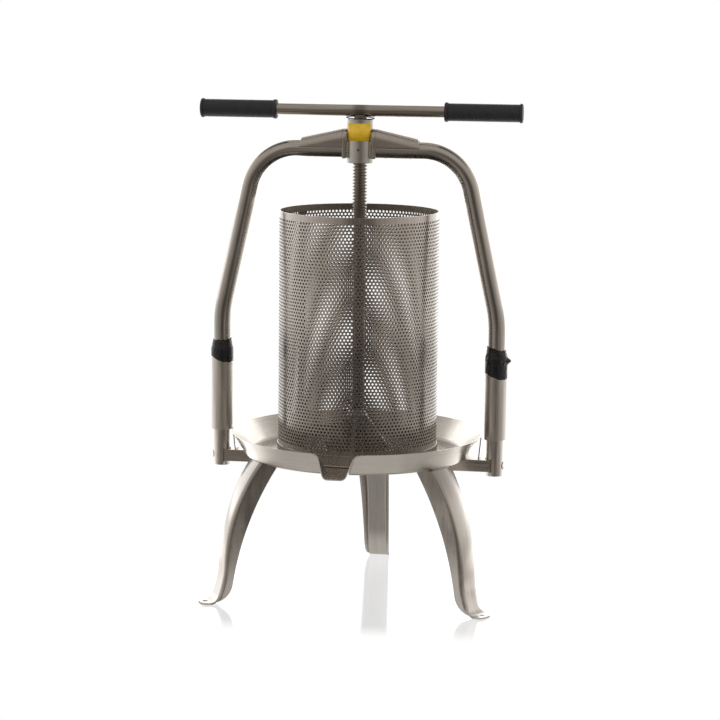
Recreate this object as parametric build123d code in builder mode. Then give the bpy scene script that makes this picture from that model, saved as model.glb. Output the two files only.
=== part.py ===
from build123d import *

import os
from math import asin, atan2, cos, degrees, radians, sin, sqrt, tan

# A screw fruit press. A perforated cage stands in a spouted tray on three pressed legs, and a screw in
# a tube arch drives a press plate down the cage. The arch stands on two posts, and each joint between
# arch and post is a knuckle under a sliding locking sleeve.
# Millimetres, +Z up, origin on the floor under the screw. The spout points along -Y.

# Clearances
seat_gap = 0.3  # between pieces that lift, slide or swing past each other
running_gap = 0.05  # on the radius, between the screw or a pin and its bore

# Tray: one pressed sheet with a flared wall and a drawn spout
tray_sheet = 1.2
tray_base_r = 140.0
tray_rim_r = 158.0
tray_depth = 28.8
tray_corner_r = 8.0
spout_half_width = 13.5  # at the underside
spout_slope = 20.0  # degrees from upright
spout_corner_r = 8.0
spout_wing_r = 7.5  # where the trough turns out into the rim
spout_wing = 1.0  # level edge beyond that turn
spout_overhang = 14.5  # beyond the rim
spout_lip_back = 15.0  # the lip's top edge stands behind its bottom edge

# Legs: three pressed channels, each ending in a flat foot
leg_height = 178.0
leg_sheet = 2.5
leg_web_z = 50.0  # where the web stands upright
leg_bow_r = 215.0
leg_ankle_r = 110.0
leg_foot_bend_r = 10.0
leg_toe_r = 208.5
leg_toe_reach = 28.3  # from the upright web out to the toe
leg_toe_round = 11.0
leg_foot_hole_inset = 7.5  # from the toe
leg_foot_hole_d = 6.5
leg_flange_depth = 27.2  # under the tray
leg_heel_setback = 0.6
leg_heel_start = 1.0  # degrees from the floor
leg_heel_turn = 81.0  # degrees
leg_heel_r = 27.8
leg_width = 31.0  # where the web stands upright
leg_splay = 6.8  # degrees, of each side towards the screw
leg_edge_r = 2.2
leg_angles = {"rear": 90.0, "left": 210.0, "right": 330.0}  # degrees

# Crossbar, posts and struts
tube_d = 21.3
tube_wall = 2.0
post_standoff = 17.0  # from the tray's rim to the post's axis
post_length = 48.0
post_tail = 5.4  # below the crossbar
crossbar_height = 15.0
crossbar_width = 20.0
crossbar_wall = 1.5
strut_width = 20.0
strut_sheet = 1.5
strut_lean = 3.0

# Knuckles and locking sleeves
knuckle_height = 16.0
knuckle_plug = 15.0
tongue_thickness = 7.0
knuckle_pin_d = 6.0
knuckle_pin_inset = 0.6
sleeve_play = 0.85  # round the tube
sleeve_wall = 1.95
sleeve_length = 101.4
sleeve_overlap = 2.0  # down over the post
sleeve_lip = 3.0
sleeve_stop_height = 4.0
cuff_thickness = 0.5
cuff_rise = 14.5
cuff_skirts = {"left": 14.0, "right": 24.0}

# Arch: two bent tubes welded to the nut housing
arch_height = 563.1
arch_spread = 45.4  # from the shoulder's corner out to the post
arch_shoulder_r = 61.5
arch_knee_z = 354.4
arch_knee_r = 150.0
housing_d = 33.0
housing_height = 54.1
housing_drop = 16.6  # below the arch's centreline
housing_floor = 5.0
housing_play = 1.0  # round the spindle, below the nut
housing_edge = 0.4
oil_hole_d = 2.6
nut_d = 24.0
cheek_thickness = 4.5
cheek_bite = 0.3  # the cheek is cut this far into round to seat on the housing
cheek_drop = 11.0
gusset_fit = 0.05  # on either side of the tube
gusset_sheet = 1.8
gusset_fall = 11.8
gusset_reach = 73.0
gusset_lift = 1.3  # of the tip, clear of the tube
gusset_end_slant = 3.0
gusset_skirt_rise = 2.7
dust_ring_wire = 2.0

# Screw and handle
spindle_d = 18.0
neck_d = 16.0
bar_d = 15.0
bar_wall = 2.0
bar_lift = 3.0  # bar's underside above the housing
bar_seat = 5.5  # the neck ends this far under the bar's centreline
handle_reach = 202.0
grip_d = 22.0
grip_length = 96.5
grip_flange_lip = 1.0
grip_flange_width = 4.0
grip_end = 4.0
grip_end_r = 3.0
grip_edge_r = 1.0

# Press plate, with its hub, ribs and retaining pins
plate_gap = 3.8  # inside the cage
plate_thickness = 5.0
plate_edge_r = 1.5
plate_rest = 3.8  # above the tray's floor, with the screw right down
hub_d = 25.5
hub_height = 40.0
hub_cone = 8.0
hub_cone_d = 21.5
rib_reach = 40.0
rib_toe = 2.0
rib_height = 39.0
rib_thickness = 4.0
rib_count = 4
retaining_pin_d = 4.0
retaining_pin_z = 10.0  # above the plate
groove_depth = 2.0

# Cage: a rolled sheet with a hoop at its foot and a lap seam
cage_d = 200.0
cage_height = 307.5
cage_sheet = 1.2
hoop_height = 14.5
hoop_sheet = 1.0
hoop_fit = 0.3  # on the radius, round the sheet
seam_width = 11.0
seam_sheet = 1.2
seam_angle = 146.0
opening_columns = 24  # round the cage, with the seam between two of them
opening_rows = 12
opening_side = 8.0
opening_margin = 6.5  # plain sheet over the hoop and under the rim

# Places that several pieces share
tube_r = tube_d / 2
plug_r = tube_r - tube_wall
tray_floor = leg_height + tray_sheet
rim_z = leg_height + tray_depth
crossbar_z = leg_height - crossbar_height / 2
post_x = tray_rim_r + post_standoff
post_bottom = leg_height - crossbar_height - post_tail
post_top = post_bottom + post_length
knuckle_pin_z = post_top + knuckle_height / 2
arch_foot = post_top + knuckle_height
sleeve_bottom = post_top - sleeve_overlap
sleeve_top = sleeve_bottom + sleeve_length
housing_r = housing_d / 2
housing_bottom = arch_height - housing_drop
housing_top = housing_bottom + housing_height
cheek_outer_x = housing_r + cheek_thickness
gusset_inner_r = tube_r + gusset_fit
gusset_r = gusset_inner_r + gusset_sheet
gusset_slope = atan2(gusset_fall, gusset_reach - cheek_outer_x)
gusset_tip = arch_height + gusset_lift + gusset_r / cos(gusset_slope)
gusset_top = gusset_tip + gusset_fall
bar_z = housing_top + bar_lift + bar_d / 2
cage_r = cage_d / 2
plate_r = cage_r - cage_sheet - plate_gap
plate_bottom = tray_floor + plate_rest
plate_top = plate_bottom + plate_thickness
cage_foot = tray_floor + seat_gap

os.makedirs("parts", exist_ok=True)


def write_piece(block, node):
    """Label a finished piece and write its file."""
    block.part.label = node
    export_step(block.part, f"parts/{node}.step")


# Tray: the outside of bowl and spout, less the inside of both, then the slanted lip
tray_flare = atan2(tray_rim_r - tray_base_r, tray_depth)
spout_reach = tray_rim_r + spout_overhang


def bowl_section(inset, height):
    """Half section of the bowl, set in from the outside of the sheet."""
    low_r = tray_base_r + inset * tan(tray_flare) - inset / cos(tray_flare)
    high_r = tray_base_r + height * tan(tray_flare) - inset / cos(tray_flare)
    low, high = leg_height + inset, leg_height + height
    with BuildSketch(Plane.XZ) as section:
        with BuildLine():
            wall = FilletPolyline((0, low), (low_r, low), (high_r, high), radius=tray_corner_r - inset)
            Polyline(wall @ 1, (0, high), wall @ 0)
        make_face()
    return section.sketch


def spout_section(inset, wing_z):
    """Section of the trough, whose sides turn out level at the rim."""
    slope = radians(spout_slope)
    low = leg_height + inset
    low_half = spout_half_width + inset * tan(slope) - inset / cos(slope)
    high_half = spout_half_width + (wing_z - leg_height) * tan(slope) - inset / cos(slope)
    wing_r = spout_wing_r + inset
    wing_half = high_half + wing_r * tan((radians(90) - slope) / 2) + spout_wing
    corner_r = spout_corner_r - inset
    with BuildSketch(Plane.XZ) as section:
        with BuildLine():
            trough = FilletPolyline(
                (-wing_half, wing_z),
                (-high_half, wing_z),
                (-low_half, low),
                (low_half, low),
                (high_half, wing_z),
                (wing_half, wing_z),
                radius=[wing_r, corner_r, corner_r, wing_r],
            )
            top = wing_z + tray_sheet
            Polyline(trough @ 1, (wing_half, top), (-wing_half, top), trough @ 0)
        make_face()
    return section.sketch


with BuildPart() as tray:
    revolve(bowl_section(0, tray_depth), axis=Axis.Z)
    extrude(spout_section(0, rim_z - tray_sheet), amount=spout_reach)
    revolve(bowl_section(tray_sheet, tray_depth), axis=Axis.Z, mode=Mode.SUBTRACT)
    extrude(spout_section(tray_sheet, rim_z), amount=spout_reach, mode=Mode.SUBTRACT)
    with BuildSketch(Plane.YZ):
        with BuildLine():
            Polyline(
                (-spout_reach, leg_height),
                (spout_lip_back - spout_reach, rim_z),
                (-spout_reach, rim_z),
                close=True,
            )
        make_face()
    extrude(amount=tray_rim_r, both=True, mode=Mode.SUBTRACT)
write_piece(tray, "tray")


# Crossbar: a box tube under the tray, its ends coped to the posts
with BuildPart() as crossbar:
    with BuildSketch(Plane(origin=(-post_x, 0, crossbar_z), x_dir=(0, 1, 0), z_dir=(1, 0, 0))):
        Rectangle(crossbar_width, crossbar_height)
        Rectangle(crossbar_width - 2 * crossbar_wall, crossbar_height - 2 * crossbar_wall, mode=Mode.SUBTRACT)
    extrude(amount=2 * post_x)
    with Locations((-post_x, 0, crossbar_z), (post_x, 0, crossbar_z)):
        Cylinder(tube_r, 2 * crossbar_height, mode=Mode.SUBTRACT)
write_piece(crossbar, "crossbar")


# Legs: a channel cut from the leg's side outline and its plan, hollow behind its web
leg_web_r = leg_toe_r - leg_toe_reach
leg_ankle_turn = asin((leg_web_z - leg_sheet - leg_foot_bend_r) / (leg_ankle_r - leg_foot_bend_r))
leg_bow_turn = asin((leg_height - leg_web_z) / leg_bow_r)
leg_top_r = leg_web_r - leg_bow_r * (1 - cos(leg_bow_turn))
leg_foot_r = leg_web_r + leg_ankle_r * (1 - cos(leg_ankle_turn)) + leg_foot_bend_r * cos(leg_ankle_turn)


def upright_plane(angle):
    """Plane through the screw's axis, with its x axis pointing outwards at an angle."""
    across = Vector(cos(radians(angle)), sin(radians(angle)), 0)
    return Plane(origin=(0, 0, 0), x_dir=across, z_dir=across.cross(Vector(0, 0, 1)))


def web_line(inset):
    """The web from the tray down to the flat of the foot, set in from its outer face."""
    start = (leg_web_r - inset, leg_web_z)
    bow_turn = asin((leg_height - leg_web_z) / (leg_bow_r - inset))
    bow = JernArc(start, (0, 1), leg_bow_r - inset, degrees(bow_turn))
    ankle = JernArc(start, (0, -1), leg_ankle_r + inset, degrees(leg_ankle_turn))
    bend = JernArc(ankle @ 1, ankle % 1, leg_foot_bend_r + inset, 90 - degrees(leg_ankle_turn))
    return bow @ 1, bend @ 1


def leg_plan(plane, inset):
    """The leg seen from above, its sides splaying from the toe towards the screw."""
    splay = tan(radians(leg_splay))
    toe_half = leg_width / 2 - leg_toe_reach * splay - inset
    root_half = toe_half + leg_toe_r * splay
    with BuildSketch(plane) as outline:
        with BuildLine():
            Polyline(
                (0, root_half),
                (leg_toe_r, toe_half),
                (leg_toe_r, -toe_half),
                (0, -root_half),
                close=True,
            )
        make_face()
    return outline.sketch


for side, angle in leg_angles.items():
    side_plane = upright_plane(angle)
    across = side_plane.x_dir
    floor_plane = Plane(origin=(0, 0, 0), x_dir=across, z_dir=(0, 0, 1))
    with BuildPart() as hollow:
        with BuildSketch(side_plane):
            with BuildLine():
                top, foot = web_line(leg_sheet)
                Polyline(top, (0, leg_height), (0, 0), foot)
            make_face()
        extrude(amount=leg_width, both=True)
        extrude(leg_plan(floor_plane, leg_sheet), amount=leg_height, mode=Mode.INTERSECT)
    with BuildPart() as leg:
        with BuildSketch(side_plane):
            with BuildLine():
                top, foot = web_line(0)
                heel_dir = (-cos(radians(leg_heel_start)), sin(radians(leg_heel_start)))
                heel = JernArc((leg_foot_r - leg_heel_setback, 0), heel_dir, leg_heel_r, -leg_heel_turn)
                flange = TangentArc(heel @ 1, (leg_top_r - leg_flange_depth, leg_height), tangent=heel % 1)
                Line(flange @ 1, top)
                Polyline(foot, (leg_toe_r, leg_sheet), (leg_toe_r, 0), heel @ 0)
            make_face()
        extrude(amount=leg_width, both=True)
        extrude(leg_plan(floor_plane, 0), amount=leg_height, mode=Mode.INTERSECT)
        add(hollow.part, mode=Mode.SUBTRACT)
        fillet(leg.edges().filter_by(Axis.Z).group_by(Axis((0, 0, 0), across))[-1], leg_toe_round)
        bow = leg.faces().filter_by(GeomType.CYLINDER).sort_by(SortBy.AREA)[-1]
        fillet(bow.edges().sort_by(SortBy.LENGTH)[-2:], leg_edge_r)
        with Locations(across * (leg_toe_r - leg_foot_hole_inset) + Vector(0, 0, leg_sheet)):
            Hole(leg_foot_hole_d / 2, depth=leg_sheet)
    write_piece(leg, f"leg_{side}")


# Posts, struts, knuckles, sleeves and arch tubes, one of each on either side
sleeve_bore_r = tube_r + sleeve_play
sleeve_r = sleeve_bore_r + sleeve_wall
knuckle_round = knuckle_height / 2 - seat_gap


def gusset_channel(hand, radius):
    """Section of the gusset's outside or inside, square to its slope: a half round on straight sides."""
    slope_dir = Vector(hand * cos(gusset_slope), 0, -sin(gusset_slope))
    tip = (hand * gusset_reach, 0, arch_height + gusset_lift)
    with BuildSketch(Plane(origin=tip, x_dir=(0, hand, 0), z_dir=slope_dir)) as section:
        Circle(radius)
        Rectangle(2 * radius, gusset_top - arch_height, align=(Align.CENTER, Align.MAX))
    return section.sketch


for side, hand in (("left", -1), ("right", 1)):
    x = hand * post_x

    # Post: a short tube welded to the crossbar's end
    with BuildPart() as post:
        with BuildSketch(Plane.XY.offset(post_bottom)):
            with Locations((x, 0)):
                Circle(tube_r)
                Circle(plug_r, mode=Mode.SUBTRACT)
        extrude(amount=post_length)
    write_piece(post, f"post_{side}")

    # Strut: a plate from the crossbar up to the tray's rim, leaning out
    with BuildPart() as strut:
        with BuildSketch(Plane.XZ):
            with BuildLine():
                Polyline(
                    (hand * (tray_rim_r - strut_lean), leg_height),
                    (hand * tray_rim_r, rim_z),
                    (hand * (tray_rim_r + strut_sheet), rim_z),
                    (hand * (tray_rim_r + strut_sheet - strut_lean), leg_height),
                    close=True,
                )
            make_face()
        extrude(amount=strut_width / 2, both=True)
    write_piece(strut, f"tray_strut_{side}")

    # Knuckle tongue: a plug in the post with a rounded flat eye above it
    with BuildPart() as tongue:
        with BuildSketch(Plane.XY.offset(post_top - knuckle_plug)):
            with Locations((x, 0)):
                Circle(plug_r)
        extrude(amount=knuckle_plug)
        with BuildSketch(Plane.YZ.offset(x)):
            with Locations((0, knuckle_pin_z)):
                Circle(knuckle_round)
            with Locations((0, post_top)):
                Rectangle(2 * knuckle_round, knuckle_height / 2, align=(Align.CENTER, Align.MIN))
            with Locations((0, knuckle_pin_z)):
                Circle(knuckle_pin_d / 2 + running_gap, mode=Mode.SUBTRACT)
        extrude(amount=tongue_thickness / 2, both=True)
    write_piece(tongue, f"knuckle_tongue_{side}")

    # Knuckle fork: a plug in the arch tube with two rounded cheeks below it
    with BuildPart() as fork:
        with BuildSketch(Plane.YZ.offset(x)):
            with Locations((0, knuckle_pin_z)):
                Circle(knuckle_round)
                Rectangle(2 * knuckle_round, knuckle_height / 2, align=(Align.CENTER, Align.MIN))
        extrude(amount=tube_r, both=True)
        with BuildSketch(Plane.XY.offset(post_top)):
            with Locations((x, 0)):
                Circle(tube_r)
        extrude(amount=knuckle_height, mode=Mode.INTERSECT)
        with BuildSketch(Plane.XY.offset(post_top)):
            with Locations((x, 0)):
                Rectangle(tongue_thickness + 2 * seat_gap, tube_d)
        extrude(amount=knuckle_height, mode=Mode.SUBTRACT)
        with BuildSketch(Plane.XY.offset(arch_foot)):
            with Locations((x, 0)):
                Circle(plug_r)
        extrude(amount=knuckle_plug)
        with BuildSketch(Plane.YZ.offset(x)):
            with Locations((0, knuckle_pin_z)):
                Circle(knuckle_pin_d / 2 + running_gap)
        extrude(amount=tube_r, both=True, mode=Mode.SUBTRACT)
    write_piece(fork, f"knuckle_fork_{side}")

    # Knuckle pin, across both cheeks and the tongue
    with BuildPart() as knuckle_pin:
        with BuildSketch(Plane.YZ.offset(x)):
            with Locations((0, knuckle_pin_z)):
                Circle(knuckle_pin_d / 2)
        extrude(amount=tube_r - knuckle_pin_inset, both=True)
    write_piece(knuckle_pin, f"knuckle_pin_{side}")

    # Sleeve stop: a ring on the arch tube, under the lip in the sleeve's mouth
    with BuildPart() as sleeve_stop:
        with BuildSketch(Plane.XY.offset(sleeve_top - sleeve_lip - seat_gap)):
            with Locations((x, 0)):
                Circle(sleeve_bore_r - seat_gap)
                Circle(tube_r, mode=Mode.SUBTRACT)
        extrude(amount=-sleeve_stop_height)
    write_piece(sleeve_stop, f"sleeve_stop_{side}")

    # Locking sleeve: a tube over the knuckle, with an inner lip at its top
    with BuildPart() as sleeve:
        with BuildSketch(Plane.XY.offset(sleeve_bottom)):
            with Locations((x, 0)):
                Circle(sleeve_r)
                Circle(tube_r + seat_gap, mode=Mode.SUBTRACT)
        extrude(amount=sleeve_length)
        with BuildSketch(Plane.XY.offset(sleeve_bottom)):
            with Locations((x, 0)):
                Circle(sleeve_bore_r)
        extrude(amount=sleeve_length - sleeve_lip, mode=Mode.SUBTRACT)
    write_piece(sleeve, f"locking_sleeve_{side}")

    # Cuff: a thin skin round the sleeve's top, drawn in to the tube above it
    with BuildPart() as cuff:
        with BuildSketch(Plane.XZ):
            with BuildLine():
                skirt = sleeve_top - cuff_skirts[side]
                outer = sleeve_r + cuff_thickness
                neck = tube_r + seat_gap
                Polyline(
                    (x + sleeve_r, skirt),
                    (x + outer, skirt),
                    (x + outer, sleeve_top),
                    (x + neck + cuff_thickness, sleeve_top + cuff_rise),
                    (x + neck, sleeve_top + cuff_rise),
                    (x + sleeve_r, sleeve_top),
                    close=True,
                )
            make_face()
        revolve(axis=Axis((x, 0, 0), (0, 0, 1)))
    write_piece(cuff, f"sleeve_cuff_{side}")

    # Arch tube: level at the housing, round the shoulder, down the slope and upright at the knee
    with BuildPart() as arch_tube:
        with BuildLine(Plane.XZ) as arch_line:
            FilletPolyline(
                (hand * cheek_outer_x, arch_height),
                (hand * (post_x - arch_spread), arch_height),
                (x, arch_knee_z),
                (x, arch_foot),
                radius=[arch_shoulder_r, arch_knee_r],
            )
        with BuildSketch(Plane(origin=arch_line.line @ 0, z_dir=arch_line.line % 0)):
            Circle(tube_r)
            Circle(plug_r, mode=Mode.SUBTRACT)
        sweep()
    write_piece(arch_tube, f"arch_tube_{side}")

    # Cheek plate: a round-topped plate that closes tube and gusset, and seats on the round of the housing
    with BuildPart() as cheek:
        with BuildSketch(Plane.YZ.offset(hand * (housing_r - cheek_bite))):
            with Locations((0, gusset_top - gusset_r)):
                Circle(gusset_r)
            with Locations((0, arch_height - cheek_drop)):
                cheek_side = gusset_top - gusset_r - arch_height + cheek_drop
                Rectangle(2 * gusset_r, cheek_side, align=(Align.CENTER, Align.MIN))
        extrude(amount=hand * (cheek_thickness + cheek_bite))
        with Locations((0, 0, arch_height)):
            Cylinder(housing_r, 2 * housing_height, mode=Mode.SUBTRACT)
    write_piece(cheek, f"cheek_plate_{side}")

    # Gusset: a round-topped channel over the tube, sloping down from the cheek plate to its tip
    with BuildPart() as gusset:
        with BuildSketch(Plane.XZ):
            with BuildLine():
                skirt_z = arch_height + gusset_skirt_rise
                Polyline(
                    (hand * cheek_outer_x, skirt_z),
                    (hand * (gusset_reach + gusset_end_slant), skirt_z),
                    (hand * gusset_reach, gusset_tip),
                    (hand * cheek_outer_x, gusset_top),
                    close=True,
                )
            make_face()
        extrude(amount=gusset_r, both=True)
        extrude(gusset_channel(hand, gusset_r), amount=gusset_reach, both=True, mode=Mode.INTERSECT)
        extrude(gusset_channel(hand, gusset_inner_r), amount=gusset_reach, both=True, mode=Mode.SUBTRACT)
    write_piece(gusset, f"gusset_{side}")


# Nut housing: a turned boss with a pocket for the nut and an oil hole at the front
with BuildPart() as nut_housing:
    with BuildSketch(Plane.XY.offset(housing_bottom)):
        Circle(housing_r)
    extrude(amount=housing_height)
    chamfer(nut_housing.edges().filter_by(GeomType.CIRCLE), housing_edge)
    with BuildSketch(Plane.XY.offset(housing_bottom)):
        Circle(spindle_d / 2 + housing_play)
    extrude(amount=housing_height, mode=Mode.SUBTRACT)
    with BuildSketch(Plane.XY.offset(housing_bottom + housing_floor)):
        Circle(nut_d / 2)
    extrude(amount=housing_height, mode=Mode.SUBTRACT)
    with BuildSketch(Plane.XZ):
        with Locations((0, arch_height)):
            Circle(oil_hole_d / 2)
    extrude(amount=housing_d, mode=Mode.SUBTRACT)
write_piece(nut_housing, "nut_housing")

# Spindle nut: a bronze bush in the housing's pocket
with BuildPart() as spindle_nut:
    with BuildSketch(Plane.XY.offset(housing_bottom + housing_floor)):
        Circle(nut_d / 2)
        Circle(spindle_d / 2 + running_gap, mode=Mode.SUBTRACT)
    extrude(amount=housing_height - housing_floor)
write_piece(spindle_nut, "spindle_nut")

# Dust ring: a round rubber ring on the housing's top edge
with BuildPart() as dust_ring:
    with BuildSketch(Plane.XZ):
        with Locations((housing_r, housing_top + dust_ring_wire / 2)):
            Circle(dust_ring_wire / 2)
    revolve(axis=Axis.Z)
write_piece(dust_ring, "dust_ring")


# Spindle: stands on the plate, with a groove for the retaining pins, and its neck fits under the bar
groove_r = spindle_d / 2 - groove_depth
groove_half = retaining_pin_d / 2 + seat_gap
pin_z = plate_top + retaining_pin_z
with BuildPart() as spindle:
    with BuildSketch(Plane.XZ):
        with BuildLine():
            Polyline(
                (0, plate_top + seat_gap),
                (spindle_d / 2, plate_top + seat_gap),
                (spindle_d / 2, pin_z - groove_half),
                (groove_r, pin_z - groove_half),
                (groove_r, pin_z + groove_half),
                (spindle_d / 2, pin_z + groove_half),
                (spindle_d / 2, housing_top + seat_gap),
                (neck_d / 2, housing_top + seat_gap),
                (neck_d / 2, bar_z - bar_seat),
                (0, bar_z - bar_seat),
                close=True,
            )
        make_face()
    revolve(axis=Axis.Z)
    with BuildSketch(Plane.YZ):
        with Locations((0, bar_z)):
            Circle(bar_d / 2)
    extrude(amount=neck_d, both=True, mode=Mode.SUBTRACT)
write_piece(spindle, "spindle")

# Handle bar: a tube welded across the spindle's neck
with BuildPart() as handle_bar:
    with BuildSketch(Plane.YZ):
        with Locations((0, bar_z)):
            Circle(bar_d / 2)
            Circle(bar_d / 2 - bar_wall, mode=Mode.SUBTRACT)
    extrude(amount=handle_reach - grip_end, both=True)
write_piece(handle_bar, "handle_bar")

# Handle grips: moulded sleeves with a flange at each end, closed outside
for side, hand in (("left", -1), ("right", 1)):
    with BuildPart() as grip:
        with BuildSketch(Plane.XZ):
            with BuildLine():
                inner, outer = handle_reach - grip_length, handle_reach
                grip_z = bar_z + grip_d / 2
                flange_z = grip_z + grip_flange_lip
                Polyline(
                    (hand * inner, bar_z + bar_d / 2),
                    (hand * inner, flange_z),
                    (hand * (inner + grip_flange_width), flange_z),
                    (hand * (inner + grip_flange_width), grip_z),
                    (hand * (outer - grip_flange_width), grip_z),
                    (hand * (outer - grip_flange_width), flange_z),
                    (hand * outer, flange_z),
                    (hand * outer, bar_z),
                    (hand * (outer - grip_end), bar_z),
                    (hand * (outer - grip_end), bar_z + bar_d / 2),
                    close=True,
                )
            make_face()
        revolve(axis=Axis((0, 0, bar_z), (1, 0, 0)))
        rings = grip.edges().filter_by(GeomType.CIRCLE).group_by(Axis((0, 0, 0), (hand, 0, 0)))
        fillet(rings[-1], grip_end_r)
        fillet(rings[0].sort_by(SortBy.RADIUS)[-1], grip_edge_r)
    write_piece(grip, f"handle_grip_{side}")


# Press plate: a round disc with a softened edge
with BuildPart() as press_plate:
    with BuildSketch(Plane.XY.offset(plate_bottom)):
        Circle(plate_r)
    extrude(amount=plate_thickness)
    fillet(press_plate.edges().filter_by(GeomType.CIRCLE), plate_edge_r)
write_piece(press_plate, "press_plate")

# Plate hub: holds the spindle's foot, cross-drilled for the retaining pins
pin_x = groove_r + seat_gap + retaining_pin_d / 2
with BuildPart() as plate_hub:
    with BuildSketch(Plane.XZ):
        with BuildLine():
            bore_r = spindle_d / 2 + running_gap
            Polyline(
                (bore_r, plate_top),
                (hub_d / 2, plate_top),
                (hub_d / 2, plate_top + hub_height),
                (hub_cone_d / 2, plate_top + hub_height + hub_cone),
                (bore_r, plate_top + hub_height + hub_cone),
                close=True,
            )
        make_face()
    revolve(axis=Axis.Z)
    with BuildSketch(Plane.XZ):
        with Locations((-pin_x, pin_z), (pin_x, pin_z)):
            Circle(retaining_pin_d / 2)
    extrude(amount=hub_d, both=True, mode=Mode.SUBTRACT)
write_piece(plate_hub, "plate_hub")

# Plate ribs: triangular webs round the hub
with BuildPart() as plate_ribs:
    for rib in range(rib_count):
        with BuildSketch(upright_plane(rib * 360 / rib_count)):
            with BuildLine():
                Polyline(
                    (0, plate_top),
                    (rib_reach, plate_top),
                    (rib_reach, plate_top + rib_toe),
                    (hub_d / 2, plate_top + rib_height),
                    (0, plate_top + rib_height),
                    close=True,
                )
            make_face()
        extrude(amount=rib_thickness / 2, both=True)
    with BuildSketch(Plane.XY.offset(plate_top)):
        Circle(hub_d / 2)
    extrude(amount=rib_height, mode=Mode.SUBTRACT)
write_piece(plate_ribs, "plate_ribs")

# Retaining pins: two cross pins that run in the spindle's groove
pin_half = sqrt((hub_d / 2) ** 2 - pin_x**2)
with BuildPart() as retaining_pins:
    with BuildSketch(Plane.XZ):
        with Locations((-pin_x, pin_z), (pin_x, pin_z)):
            Circle(retaining_pin_d / 2)
    extrude(amount=pin_half, both=True)
write_piece(retaining_pins, "retaining_pins")


# Cage wall: a rolled sheet, with a coarse staggered grid of openings for its fine perforation
opening_foot = cage_foot + hoop_height + opening_margin
row_pitch = (cage_height - hoop_height - 2 * opening_margin) / opening_rows
column_pitch = 360 / opening_columns
with BuildPart() as cage_wall:
    with BuildSketch(Plane.XY.offset(cage_foot)):
        Circle(cage_r)
        Circle(cage_r - cage_sheet, mode=Mode.SUBTRACT)
    extrude(amount=cage_height)
    for half_step in range(opening_columns):
        with BuildSketch(upright_plane(seam_angle + (half_step + 1) / 2 * column_pitch)):
            for row in range(half_step % 2, opening_rows, 2):
                row_z = opening_foot + (row + 1 / 2) * row_pitch
                with Locations((-cage_r, row_z), (cage_r, row_z)):
                    Rectangle(opening_side, opening_side)
        extrude(amount=opening_side / 2, both=True, mode=Mode.SUBTRACT)
write_piece(cage_wall, "cage_wall")

# Cage hoop: a plain band round the foot of the wall
with BuildPart() as cage_hoop:
    with BuildSketch(Plane.XY.offset(cage_foot)):
        Circle(cage_r + hoop_fit + hoop_sheet)
        Circle(cage_r + hoop_fit, mode=Mode.SUBTRACT)
    extrude(amount=hoop_height)
write_piece(cage_hoop, "cage_hoop")

# Cage seam: the lapped edge of the sheet, from the hoop to the rim
with BuildPart() as cage_seam:
    with BuildSketch(Plane.XY.offset(cage_foot + hoop_height)):
        with BuildLine():
            seam_span = degrees(seam_width / cage_r)
            seam_in = CenterArc((0, 0), cage_r, seam_angle - seam_span / 2, seam_span)
            seam_out = CenterArc((0, 0), cage_r + seam_sheet, seam_angle - seam_span / 2, seam_span)
            Line(seam_in @ 0, seam_out @ 0)
            Line(seam_in @ 1, seam_out @ 1)
        make_face()
    extrude(amount=cage_height - hoop_height)
write_piece(cage_seam, "cage_seam")
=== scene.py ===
from math import asin, atan2, cos, exp, pi, radians, sin, sqrt, tan

import bmesh
import bpy
from mathutils import Matrix, Vector, noise


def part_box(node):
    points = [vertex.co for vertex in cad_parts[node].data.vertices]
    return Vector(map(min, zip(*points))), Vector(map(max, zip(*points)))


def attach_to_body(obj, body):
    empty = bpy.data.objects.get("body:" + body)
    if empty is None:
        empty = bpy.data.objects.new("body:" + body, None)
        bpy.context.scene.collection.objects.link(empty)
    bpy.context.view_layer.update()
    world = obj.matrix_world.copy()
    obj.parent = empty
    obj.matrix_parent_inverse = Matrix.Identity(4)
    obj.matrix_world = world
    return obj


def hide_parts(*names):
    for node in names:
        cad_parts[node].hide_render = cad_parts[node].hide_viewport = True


# A screw fruit press in stainless steel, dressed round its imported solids.
# Metres, +Z up, origin on the floor under the screw. The spout points along -Y.
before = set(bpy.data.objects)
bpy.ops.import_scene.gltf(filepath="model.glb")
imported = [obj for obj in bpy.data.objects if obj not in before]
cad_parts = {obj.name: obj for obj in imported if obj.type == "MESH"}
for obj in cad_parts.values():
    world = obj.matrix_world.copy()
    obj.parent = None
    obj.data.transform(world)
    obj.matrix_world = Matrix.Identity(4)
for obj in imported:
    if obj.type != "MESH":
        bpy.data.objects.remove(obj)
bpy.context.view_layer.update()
mm = 0.001

# Camera: a long lens a little above the handle and to the right of the spout, looking slightly
# down on the press.
camera_place = Vector((0.4723, -2.8880, 0.7594))
camera_turn = radians(9.238)
camera_dip = radians(8.961)
camera_roll = radians(0.601)
camera = bpy.data.objects.new("camera", bpy.data.cameras.new("camera"))
camera.data.lens = 117.5
camera.data.sensor_width = 36.0
camera.matrix_world = (
    Matrix.Translation(camera_place)
    @ Matrix.Rotation(camera_turn, 4, "Z")
    @ Matrix.Rotation(pi / 2 - camera_dip, 4, "X")
    @ Matrix.Rotation(camera_roll, 4, "Z")
)
bpy.context.collection.objects.link(camera)
bpy.context.scene.camera = camera

# Studio: a white gloss table top in a white room. The room is dim in front, lighter to the sides and
# bright behind the press, which gives satin steel its light edges and dark middles.
floor_r, floor_sides = 1.6, 128
floor_drop = 0.2 * mm
# the table by distance from the screw: a painted shadow under the press, painted light grey round it,
# then as its levels say
shade_reach, pool_reach, table_reach = (0.09, 0.18), (0.2, 0.4), (0.85, 1.15)
shade_level, pool_level, table_warmth = 0.3, 0.58, 0.4
# its faint gloss fades out all round, and sooner across the front
mirror_near, mirror_far = 0.24, 0.45
front_near, front_far = -0.16, -0.22
gloss_share, gloss_rough = 0.3, 0.1
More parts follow.
